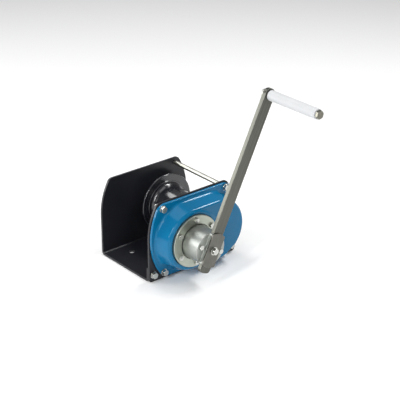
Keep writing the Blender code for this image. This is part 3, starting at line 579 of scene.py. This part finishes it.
def spun(profile, centre, steps):
    """Spins a closed profile of (radius, depth along X) once round the axis through centre."""
    bm = bmesh.new()
    points = [bm.verts.new((x, centre[0], centre[1] + radius)) for radius, x in profile]
    edges = [bm.edges.new(pair) for pair in zip(points, points[1:])]
    if profile[0][0] > 0 and profile[-1][0] > 0:
        edges.append(bm.edges.new((points[-1], points[0])))
    bmesh.ops.spin(bm, geom=points + edges, cent=(0.0, centre[0], centre[1]),
                   axis=(1.0, 0.0, 0.0), angle=2 * math.pi, steps=steps, use_merge=True)
    bmesh.ops.remove_doubles(bm, verts=bm.verts, dist=same_point)
    return bm


def add_screw(bm, centre, tip, seat, radius, threaded, pitch):
    """A shank with a screwed end, whose roots and crests are turned one pitch apart."""
    turns = max(2, int(threaded / pitch))
    profile = [(0.0, tip)]
    for number in range(turns + 1):
        profile += [(root_share * radius, tip + pitch * number),
                    (radius, tip + pitch * (number + 0.5))]
    profile += [(radius, seat), (0.0, seat)]
    shank = spun(profile, centre, 28)
    turned = bpy.data.meshes.new("turned_shank")
    shank.to_mesh(turned)
    shank.free()
    bm.from_mesh(turned)
    bpy.data.meshes.remove(turned)


def bolt(name, node_name, body, thread, washers=(), turn=0.0, material=bright_zinc):
    """A bolt with its washers in the place of its CAD node, whose box gives its axis and depths.
    The washers are listed from the seat outwards."""
    flats, head, radius, pitch = threads[thread]
    low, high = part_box(node_name)
    centre = centre_of(low, high)
    seat = high.x - (head + sum(thickness for _, thickness in washers))
    bm = bmesh.new()
    depth = seat
    for washer_radius, thickness in washers:
        add_disc(bm, centre, depth, depth + thickness, washer_radius, 40)
        depth += thickness
    add_head(bm, centre, depth, flats, head, turn)
    soften(bm, 0.22 * mm, 25.0)
    threaded = min(0.6 * (seat - low.x), longest_thread)
    add_screw(bm, centre, low.x, seat, radius, threaded, pitch)
    piece(name, bm, material, body, "zinc_plate", node_name)


for number, corner in enumerate(("front_top", "rear_top", "front_bottom", "rear_bottom")):
    bolt(f"cover_corner_bolt_{corner}", f"cover_bolt_{corner}", "frame", "M8",
         (plain_washer, spring_washer), turn=0.35 + 0.6 * number)
for number, end_name in enumerate(("front", "rear")):
    bolt(f"lip_bolt_{end_name}", f"side_plate_bolt_{end_name}", "frame", "M8",
         (plain_washer, spring_washer), turn=0.15 + 0.4 * number)


def hex_nut(name, node_name, body, flats, bore):
    """A hexagon nut with a chamfered bore, between the depths of its CAD node."""
    low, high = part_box(node_name)
    middle = along_x((low.x + high.x) / 2, centre_of(low, high))
    bm = bmesh.new()
    corners, _ = (
        bmesh.ops.create_cone(bm, cap_ends=False, segments=sides, radius1=radius, radius2=radius,
                              depth=high.x - low.x, matrix=middle)["verts"]
        for sides, radius in ((6, flats / math.sqrt(3)), (24, bore))
    )
    for x in (low.x, high.x):
        rims = [e for e in bm.edges if all(abs(v.co.x - x) < 0.1 * same_point for v in e.verts)]
        bmesh.ops.bridge_loops(bm, edges=rims)
    bmesh.ops.bevel(bm, geom=corners, offset=flats * 0.09, affect="VERTICES", segments=1,
                    profile=0.5, material=-1)
    bmesh.ops.remove_doubles(bm, verts=bm.verts, dist=same_point)
    soften(bm, 0.25 * mm, 40.0, 1)
    piece(name, bm, bright_zinc, body, "zinc_plate", node_name)


for corner in ("front_top", "front_bottom", "rear_bottom"):
    hex_nut(f"cover_corner_nut_{corner}", f"cover_nut_{corner}", "frame", nut_flats, nut_bore)


# --- Tie rod -----------------------------------------------------------------------------------
# A drawn steel spacer rod holds the tops of the side plates apart at the rear. It is turned down
# and threaded for a nut outside the left plate, and tapped at the other end for a cover bolt.

rod_low, rod_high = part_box("tie_rod")
rod_centre = centre_of(rod_low, rod_high)
rod_radius = (rod_high.y - rod_low.y) / 2
rod_shoulder = -75.2 * mm
rod_thread = 10.0 * mm
tapping_end = rod_high.x - 12.0 * mm
_, _, thread_radius, thread_pitch = threads["M8"]
rod = spun([
    (0.0, tapping_end), (nut_bore, tapping_end), (nut_bore, rod_high.x),
    (rod_radius, rod_high.x), (rod_radius, rod_shoulder), (0.0, rod_shoulder),
], rod_centre, 48)
soften(rod, 0.5 * mm, 35.0)
add_screw(rod, rod_centre, rod_low.x, rod_shoulder, thread_radius, rod_thread, thread_pitch)
drawn_rod = finish(
    "drawn_rod", (0.40, 0.40, 0.355), (0.64, 0.64, 0.58), 1.0, (0.26, 0.40),
    edge=(0.8, 0.8, 0.75), edge_radius=0.6 * mm, stretch=(0.02, 0.001, 0.001), grain=1.2,
    clouds=14.0, bump=0.05,
)
piece("spacer_rod", rod, drawn_rod, "frame", "zinc_plate", "tie_rod")
hex_nut("spacer_rod_nut", "tie_rod_nut", "frame", nut_flats, nut_bore)


# --- Rope drum ---------------------------------------------------------------------------------
# A cast core with a flange on each end, turned all over and painted gloss black. A small saddle
# clamp with two screws, on the outside of the left flange, holds the rope's end.

drum_centre = (drum_axis.y, drum_axis.z)
left_low, left_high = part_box("drum_flange_left")
right_low, right_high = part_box("drum_flange_right")
core_low, core_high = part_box("drum_core")
edge_round, edge_half_width = 1.6 * mm, 3.0 * mm
flange_flat = (left_high.y - left_low.y) / 2 - edge_round
bore_radius, sleeve_radius, sleeve_chamfer = 12.8 * mm, 22.0 * mm, 1.2 * mm
step_radius, step_height = 47.0 * mm, 0.8 * mm
cove_depth, cove_length = 8.0 * mm, 11.5 * mm


def flange_edge(low, high):
    """The rounded outer edge of a flange, from its left face to its right."""
    turns = [number * math.pi / 8 for number in range(1, 8)]
    return [(flange_flat, low.x)] + [
        (flange_flat + edge_round * math.sin(turn),
         (low.x + high.x) / 2 - edge_half_width * math.cos(turn)) for turn in turns
    ] + [(flange_flat, high.x)]


def step_down(inner_face, away):
    """The small step and the cove between a flange's inner face and the core; away is +1 or -1,
    the direction along X in which the core lies."""
    turns = [number * math.pi / 20 for number in range(1, 11)]
    return [(48.4 * mm, inner_face), (47.8 * mm, inner_face + away * 0.7 * mm),
            (step_radius, inner_face + away * step_height)] + [
        (step_radius - cove_depth * math.sin(turn),
         inner_face + away * (step_height + cove_length * (1 - math.cos(turn)))) for turn in turns
    ]


outside = [(bore_radius, core_low.x), (sleeve_radius - sleeve_chamfer, core_low.x),
           (sleeve_radius, core_low.x + sleeve_chamfer), (sleeve_radius, left_low.x)]
outside += flange_edge(left_low, left_high) + step_down(left_high.x, 1.0)
outside += step_down(right_low.x, -1.0)[::-1] + flange_edge(right_low, right_high)
# a deep hollow between the core's wall and its inner sleeve, open at the gear's end
hollow_floor, hollow_corner = left_high.x + 6.0 * mm, left_high.x + 9.0 * mm
inside = [
    (33.0 * mm, right_high.x), (32.0 * mm, right_high.x - 1.0 * mm), (32.0 * mm, hollow_corner),
    (29.0 * mm, hollow_floor), (25.0 * mm, hollow_floor), (22.6 * mm, hollow_corner),
    (sleeve_radius, right_high.x), (sleeve_radius, core_high.x - sleeve_chamfer),
    (sleeve_radius - sleeve_chamfer, core_high.x), (bore_radius, core_high.x),
]
gloss_black = finish(
    "gloss_black_drum", (0.006, 0.0065, 0.009), (0.016, 0.017, 0.022), 0.0, (0.20, 0.30),
    edge=(0.10, 0.105, 0.12), place=Matrix.Translation(drum_axis), turned=True, grain=700.0,
    clouds=14.0, bump=0.03, coat=0.8, coat_roughness=0.12,
)
piece("rope_drum_body", spun(outside + inside, drum_centre, 96), gloss_black, "drum", "drum_paint",
      "drum_core", "drum_flange_left", "drum_flange_right")


def refinish(name, material):
    """Gives a CAD node that stays as it is the finish of the real piece."""
    nodes[name].data.materials.clear()
    nodes[name].data.materials.append(material)


for name in ("rope_clamp", "rope_clamp_screw_1", "rope_clamp_screw_2"):
    refinish(name, bright_zinc)


# --- Drum shaft and its nut --------------------------------------------------------------------
# A ground steel shaft with chamfered ends runs in bushes in both side plates and turns with the
# drum. A large thin nut holds it outside the left plate.

shaft_low, shaft_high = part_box("drum_shaft")
shaft_radius, shaft_chamfer = 12.5 * mm, 1.2 * mm
machined_steel = finish(
    "machined_steel", (0.34, 0.35, 0.37), (0.56, 0.57, 0.59), 1.0, (0.20, 0.36),
    edge=(0.8, 0.8, 0.8), edge_radius=0.6 * mm, place=Matrix.Translation(drum_axis), turned=True,
    grain=1100.0, clouds=24.0, bump=0.05,
)
# a shallow ring round the lathe's centre mark is turned in the outer end
shaft = spun([
    (0.0, shaft_low.x), (3.0 * mm, shaft_low.x), (3.4 * mm, shaft_low.x + 0.8 * mm),
    (3.8 * mm, shaft_low.x), (shaft_radius - shaft_chamfer, shaft_low.x),
    (shaft_radius, shaft_low.x + shaft_chamfer), (shaft_radius, shaft_high.x - shaft_chamfer),
    (shaft_radius - shaft_chamfer, shaft_high.x), (0.0, shaft_high.x),
], drum_centre, 64)
piece("drum_axle", shaft, machined_steel, "drum", "gear_steel", "drum_shaft")
hex_nut("drum_axle_nut", "drum_shaft_nut", "drum", 36.0 * mm, 12.9 * mm)


# --- Gears, brake and bushes -------------------------------------------------------------------
# Greased steel gears, and a load brake of two lined discs and a ratchet wheel, turn inside the
# cover in pressed-in bronze bushes. A pin, a key, a spacer and a nut hold the drum and its gear on
# their shaft.

bush_bronze = finish(
    "bush_bronze", (0.36, 0.23, 0.09), (0.58, 0.40, 0.18), 1.0, (0.26, 0.42),
    edge=(0.8, 0.6, 0.3), edge_radius=0.5 * mm, place=Matrix.Translation(drum_axis), turned=True,
    grain=1000.0, clouds=30.0, bump=0.05,
)
greased_steel = finish(
    "greased_steel", (0.22, 0.21, 0.19), (0.48, 0.47, 0.44), 1.0, (0.18, 0.34),
    edge=(0.7, 0.7, 0.68), edge_radius=0.6 * mm, grain=800.0, clouds=60.0, bump=0.06, coat=0.5,
    coat_roughness=0.15,
)
brake_lining = finish(
    "brake_lining", (0.035, 0.022, 0.014), (0.13, 0.09, 0.06), 0.0, (0.75, 0.9),
    grain=2600.0, clouds=70.0, bump=0.25,
)
for material, names in (
    (machined_steel, ("drum_pin", "gear_spacer", "gear_key")),
    (bright_zinc, ("gear_retaining_nut", "pawl_spring")),
    (greased_steel, ("drum_gear", "pinion_shaft", "ratchet_wheel", "pawl", "pawl_pin")),
    (bush_bronze, ("drum_bush_left", "drum_bush_right", "pinion_bush", "hub_bush")),
    (brake_lining, ("brake_disc_inner", "brake_disc_outer")),
):
    for name in names:
        refinish(name, material)


# --- Bearing flange ----------------------------------------------------------------------------
# A turned steel flange closes the cover and carries the crank hub. It is zinc plated with an olive
# tint, and small hexagon bolts hold it down on a circle.

crank_centre = (crank_axis.y, crank_axis.z)
flange_low, flange_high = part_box("hub_flange")
olive_zinc = finish(
    "olive_zinc_flange", (0.30, 0.325, 0.275), (0.58, 0.61, 0.53), 1.0, (0.30, 0.44),
    edge=(0.6, 0.62, 0.55), edge_radius=1.0 * mm, place=Matrix.Translation(crank_axis),
    turned=True, grain=800.0, clouds=26.0, bump=0.06, mottle=(0.2, 0.8),
)
flange_front = flange_high.x
flange_back = flange_seat + 0.3 * mm
flange_radius, spigot_radius, bearing_radius = 55.0 * mm, 36.6 * mm, 27.0 * mm
flange_chamfer = 0.8 * mm
# the hub's back turns in a recess, whose floor slopes to the middle and whose edge is broken
bearing = spun([
    (37.5 * mm, flange_front), (flange_radius - flange_chamfer, flange_front),
    (flange_radius, flange_front - flange_chamfer), (flange_radius, flange_back),
    (spigot_radius, flange_back), (spigot_radius, flange_low.x),
    (bearing_radius, flange_low.x), (bearing_radius, plate_face + 39.6 * mm),
    (36.2 * mm, plate_face + 40.2 * mm), (spigot_radius, flange_front - 0.7 * mm),
], crank_centre, 120)
soften(bearing, 0.2 * mm, 30.0)
piece("bearing_flange", bearing, olive_zinc, "frame", "zinc_plate", "hub_flange")
for number in range(1, 7):
    bolt(f"flange_screw_{number}", f"flange_bolt_{number}", "frame", "M6", turn=0.5 * number)


# --- Crank hub ---------------------------------------------------------------------------------
# A turned steel hub screwed on the pinion shaft, with a milled block left across its end face. The
# block is slotted for the crank bar, and a hexagon bolt stands on each side of it.

grip_axis = spin_axes["grip_spin"]
lean = math.atan2(grip_axis.y - crank_axis.y, grip_axis.z - crank_axis.z)
turned_hub = finish(
    "turned_hub", (0.30, 0.315, 0.295), (0.50, 0.52, 0.49), 1.0, (0.36, 0.50),
    edge=(0.8, 0.82, 0.76), edge_radius=0.9 * mm, place=Matrix.Translation(crank_axis),
    turned=True, grain=900.0, clouds=22.0, bump=0.07,
)
hub = cad_copy("crank_hub")
soften(hub, 0.4 * mm, 40.0)
piece("slotted_crank_hub", hub, turned_hub, "crank", "zinc_plate", "crank_hub")
for number in (1, 2):
    bolt(f"hub_face_bolt_{number}", f"hub_bolt_{number}", "crank", "M6", turn=lean + 0.3 * number)


# --- Crank bar and clamp plate -----------------------------------------------------------------
# Flat steel bar, sheared and rounded at both ends and plated dull. It lies in the hub's slot under
# a flame-cut clamp plate that one central bolt pulls down.

arm_low, arm_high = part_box("crank_arm")
crank_place = (Matrix.Translation((0.0, crank_axis.y, crank_axis.z))
               @ Matrix.Rotation(-lean, 4, "X"))
grip_reach = math.hypot(grip_axis.y - crank_axis.y, grip_axis.z - crank_axis.z)
half_width = 13.0 * mm
tail_reach, tail_corner = 48.5 * mm, 5.0 * mm
drawn_bar = finish(
    "drawn_flat_bar", (0.070, 0.070, 0.056), (0.175, 0.178, 0.160), 1.0, (0.26, 0.42),
    edge=(0.75, 0.76, 0.70), edge_radius=0.9 * mm, place=crank_place,
    stretch=(0.0012, 0.0012, 0.09), grain=1.0, clouds=0.45, bump=0.07, mottle=(0.25, 0.75),
)
# a half circle round the grip's bolt, then a tail with a slightly curved end and round corners
outline = []
for step in range(25):
    turn = math.pi * step / 24
    outline.append((half_width * math.cos(turn), grip_reach + half_width * math.sin(turn)))
for step in range(33):
    across = -half_width + 2 * half_width * step / 32
    past = max(0.0, abs(across) - (half_width - tail_corner))
    end = math.sqrt(tail_reach ** 2 - across ** 2) - tail_corner
    outline.append((across, -end - math.sqrt(max(0.0, tail_corner ** 2 - past ** 2))))
bar = bmesh.new()
flat = bar.faces.new([bar.verts.new((arm_low.x, y, z)) for y, z in outline])
sides = bmesh.ops.extrude_face_region(bar, geom=[flat])["geom"]
bmesh.ops.translate(bar, verts=[v for v in sides if isinstance(v, bmesh.types.BMVert)],
                    vec=(arm_high.x - arm_low.x, 0.0, 0.0))
soften(bar, 0.9 * mm, 40.0, 3)
bmesh.ops.transform(bar, matrix=crank_place, verts=bar.verts)
piece("crank_bar", bar, drawn_bar, "crank", "plated_bar", "crank_arm")

olive_plate = finish(
    "olive_clamp_plate", (0.120, 0.118, 0.104), (0.20, 0.198, 0.180), 1.0, (0.30, 0.44),
    edge=(0.45, 0.45, 0.40), edge_radius=0.8 * mm, grain=700.0, clouds=40.0, bump=0.07,
)
clamp_plate = cad_copy("arm_clamp_plate")
soften(clamp_plate, 0.4 * mm, 40.0)
piece("bar_clamp_plate", clamp_plate, olive_plate, "crank", "plated_bar", "arm_clamp_plate")
bolt("clamp_bolt", "crank_centre_bolt", "crank", "M8", turn=lean)


def washer_ring(node_name, centre, bore, radius):
    """A plain washer between the depths of its CAD node."""
    low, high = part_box(node_name)
    return spun([(bore, low.x), (radius, low.x), (radius, high.x), (bore, high.x)], centre, 48)


washer = washer_ring("crank_centre_washer", crank_centre, 4.4 * mm, 8.4 * mm)
soften(washer, 0.25 * mm, 40.0)
piece("clamp_bolt_washer", washer, bright_zinc, "crank", "zinc_plate", "crank_centre_washer")


# --- Grip --------------------------------------------------------------------------------------
# A plain white plastic tube that turns freely on a long bolt through the end of the bar. A washer
# keeps it off the bar, the bolt's head keeps it on, and a nut behind the bar locks the bolt.

grip_centre = (grip_axis.y, grip_axis.z)
grip_low, grip_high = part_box("grip")
grip_bore, grip_radius = 5.4 * mm, 10.5 * mm
white_plastic = finish(
    "white_plastic_tube", (0.50, 0.512, 0.525), (0.59, 0.60, 0.61), 0.0, (0.40, 0.52),
    grain=500.0, clouds=16.0, bump=0.03,
)
tube = spun([
    (grip_bore, grip_low.x), (grip_radius - 1.0 * mm, grip_low.x),
    (grip_radius - 0.3 * mm, grip_low.x + 0.3 * mm), (grip_radius, grip_low.x + 1.0 * mm),
    (grip_radius, grip_high.x - 1.5 * mm), (grip_radius - 0.4 * mm, grip_high.x - 0.5 * mm),
    (grip_radius - 1.4 * mm, grip_high.x), (grip_bore, grip_high.x),
], grip_centre, 64)
soften(tube, 0.3 * mm, 40.0)
piece("white_grip_tube", tube, white_plastic, "grip", "white_nylon", "grip")
olive_bolt = finish(
    "olive_grip_bolt", (0.16, 0.155, 0.125), (0.30, 0.295, 0.25), 1.0, (0.22, 0.36),
    edge=(0.6, 0.59, 0.52), edge_radius=0.7 * mm, grain=1000.0, clouds=90.0, bump=0.03,
)
bolt("grip_bolt", "grip_axle", "crank", "M10", turn=0.2, material=olive_bolt)
hex_nut("grip_bolt_nut", "grip_axle_nut", "crank", 16.0 * mm, 5.3 * mm)
washer = washer_ring("grip_washer", grip_centre, grip_bore, 9.4 * mm)
piece("grip_bolt_washer", washer, bright_zinc, "crank", "zinc_plate", "grip_washer")


# --- Studio ------------------------------------------------------------------------------------
# A plain pale floor under soft rectangular lights: a wide one at the front left, narrow strips in
# front and behind that draw the highlights, and weaker ones above, at the left and at the right.
# A long lens looks from the front right, a little above the winch.

floor_paint = bpy.data.materials.new("pale_floor")
floor_paint.use_nodes = True
floor_shader = floor_paint.node_tree.nodes["Principled BSDF"]
floor_shader.inputs["Base Color"].default_value = (0.92, 0.92, 0.92, 1.0)
floor_shader.inputs["Roughness"].default_value = 0.9
ground = bmesh.new()
bmesh.ops.create_grid(ground, x_segments=1, y_segments=1, size=12.0)
bmesh.ops.translate(ground, verts=ground.verts, vec=(0.0, 0.0, -0.4 * mm))
floor_mesh = bpy.data.meshes.new("studio_floor")
ground.to_mesh(floor_mesh)
ground.free()
floor_mesh.materials.append(floor_paint)
studio_floor = bpy.data.objects.new("studio_floor", floor_mesh)
bpy.context.scene.collection.objects.link(studio_floor)

lit_spot = Vector((0.08, 0.0, 0.12))
for name, spot, size, power in (
    ("key_light", (-1.45, -1.45, 0.70), (1.0, 0.9), 18.0),
    ("front_light", (0.55, -1.70, 1.00), (0.20, 1.20), 21.0),
    ("back_light", (0.35, 1.15, 1.75), (1.40, 0.20), 26.0),
    ("overhead_light", (0.10, -0.20, 2.40), (1.6, 1.6), 10.0),
    ("side_light", (-1.55, -0.15, 1.70), (0.8, 0.8), 10.0),
    ("fill_light", (1.70, -1.30, 1.20), (1.3, 1.3), 7.0),
):
    lamp = bpy.data.lights.new(name, "AREA")
    lamp.shape = "RECTANGLE"
    lamp.size, lamp.size_y = size
    lamp.energy = power
    light = bpy.data.objects.new(name, lamp)
    light.location = spot
    light.rotation_euler = (lit_spot - Vector(spot)).to_track_quat("-Z", "Y").to_euler()
    bpy.context.scene.collection.objects.link(light)
world = bpy.context.scene.world or bpy.data.worlds.new("studio")
bpy.context.scene.world = world
world.use_nodes = True
world.node_tree.nodes["Background"].inputs["Color"].default_value = (0.9, 0.9, 0.9, 1.0)
world.node_tree.nodes["Background"].inputs["Strength"].default_value = 0.30
bpy.context.scene.view_settings.view_transform = "Standard"

lens = bpy.data.cameras.new("camera")
lens.sensor_width = 36.0
lens.lens = 115.938
camera = bpy.data.objects.new("camera", lens)
view_centre = Vector((0.102, 0.0005, 0.156))
view_distance = 2.535
back = Vector((0.693, -0.579, 0.429)).normalized()
side = Vector((0.641, 0.767, 0.0)).normalized()
rise = back.cross(side).normalized()
side = rise.cross(back).normalized()
facing = Matrix((side, rise, back)).transposed().to_4x4()
camera.matrix_world = Matrix.Translation(view_centre + back * view_distance) @ facing
bpy.context.scene.collection.objects.link(camera)
bpy.context.scene.camera = camera

bpy.context.view_layer.update()
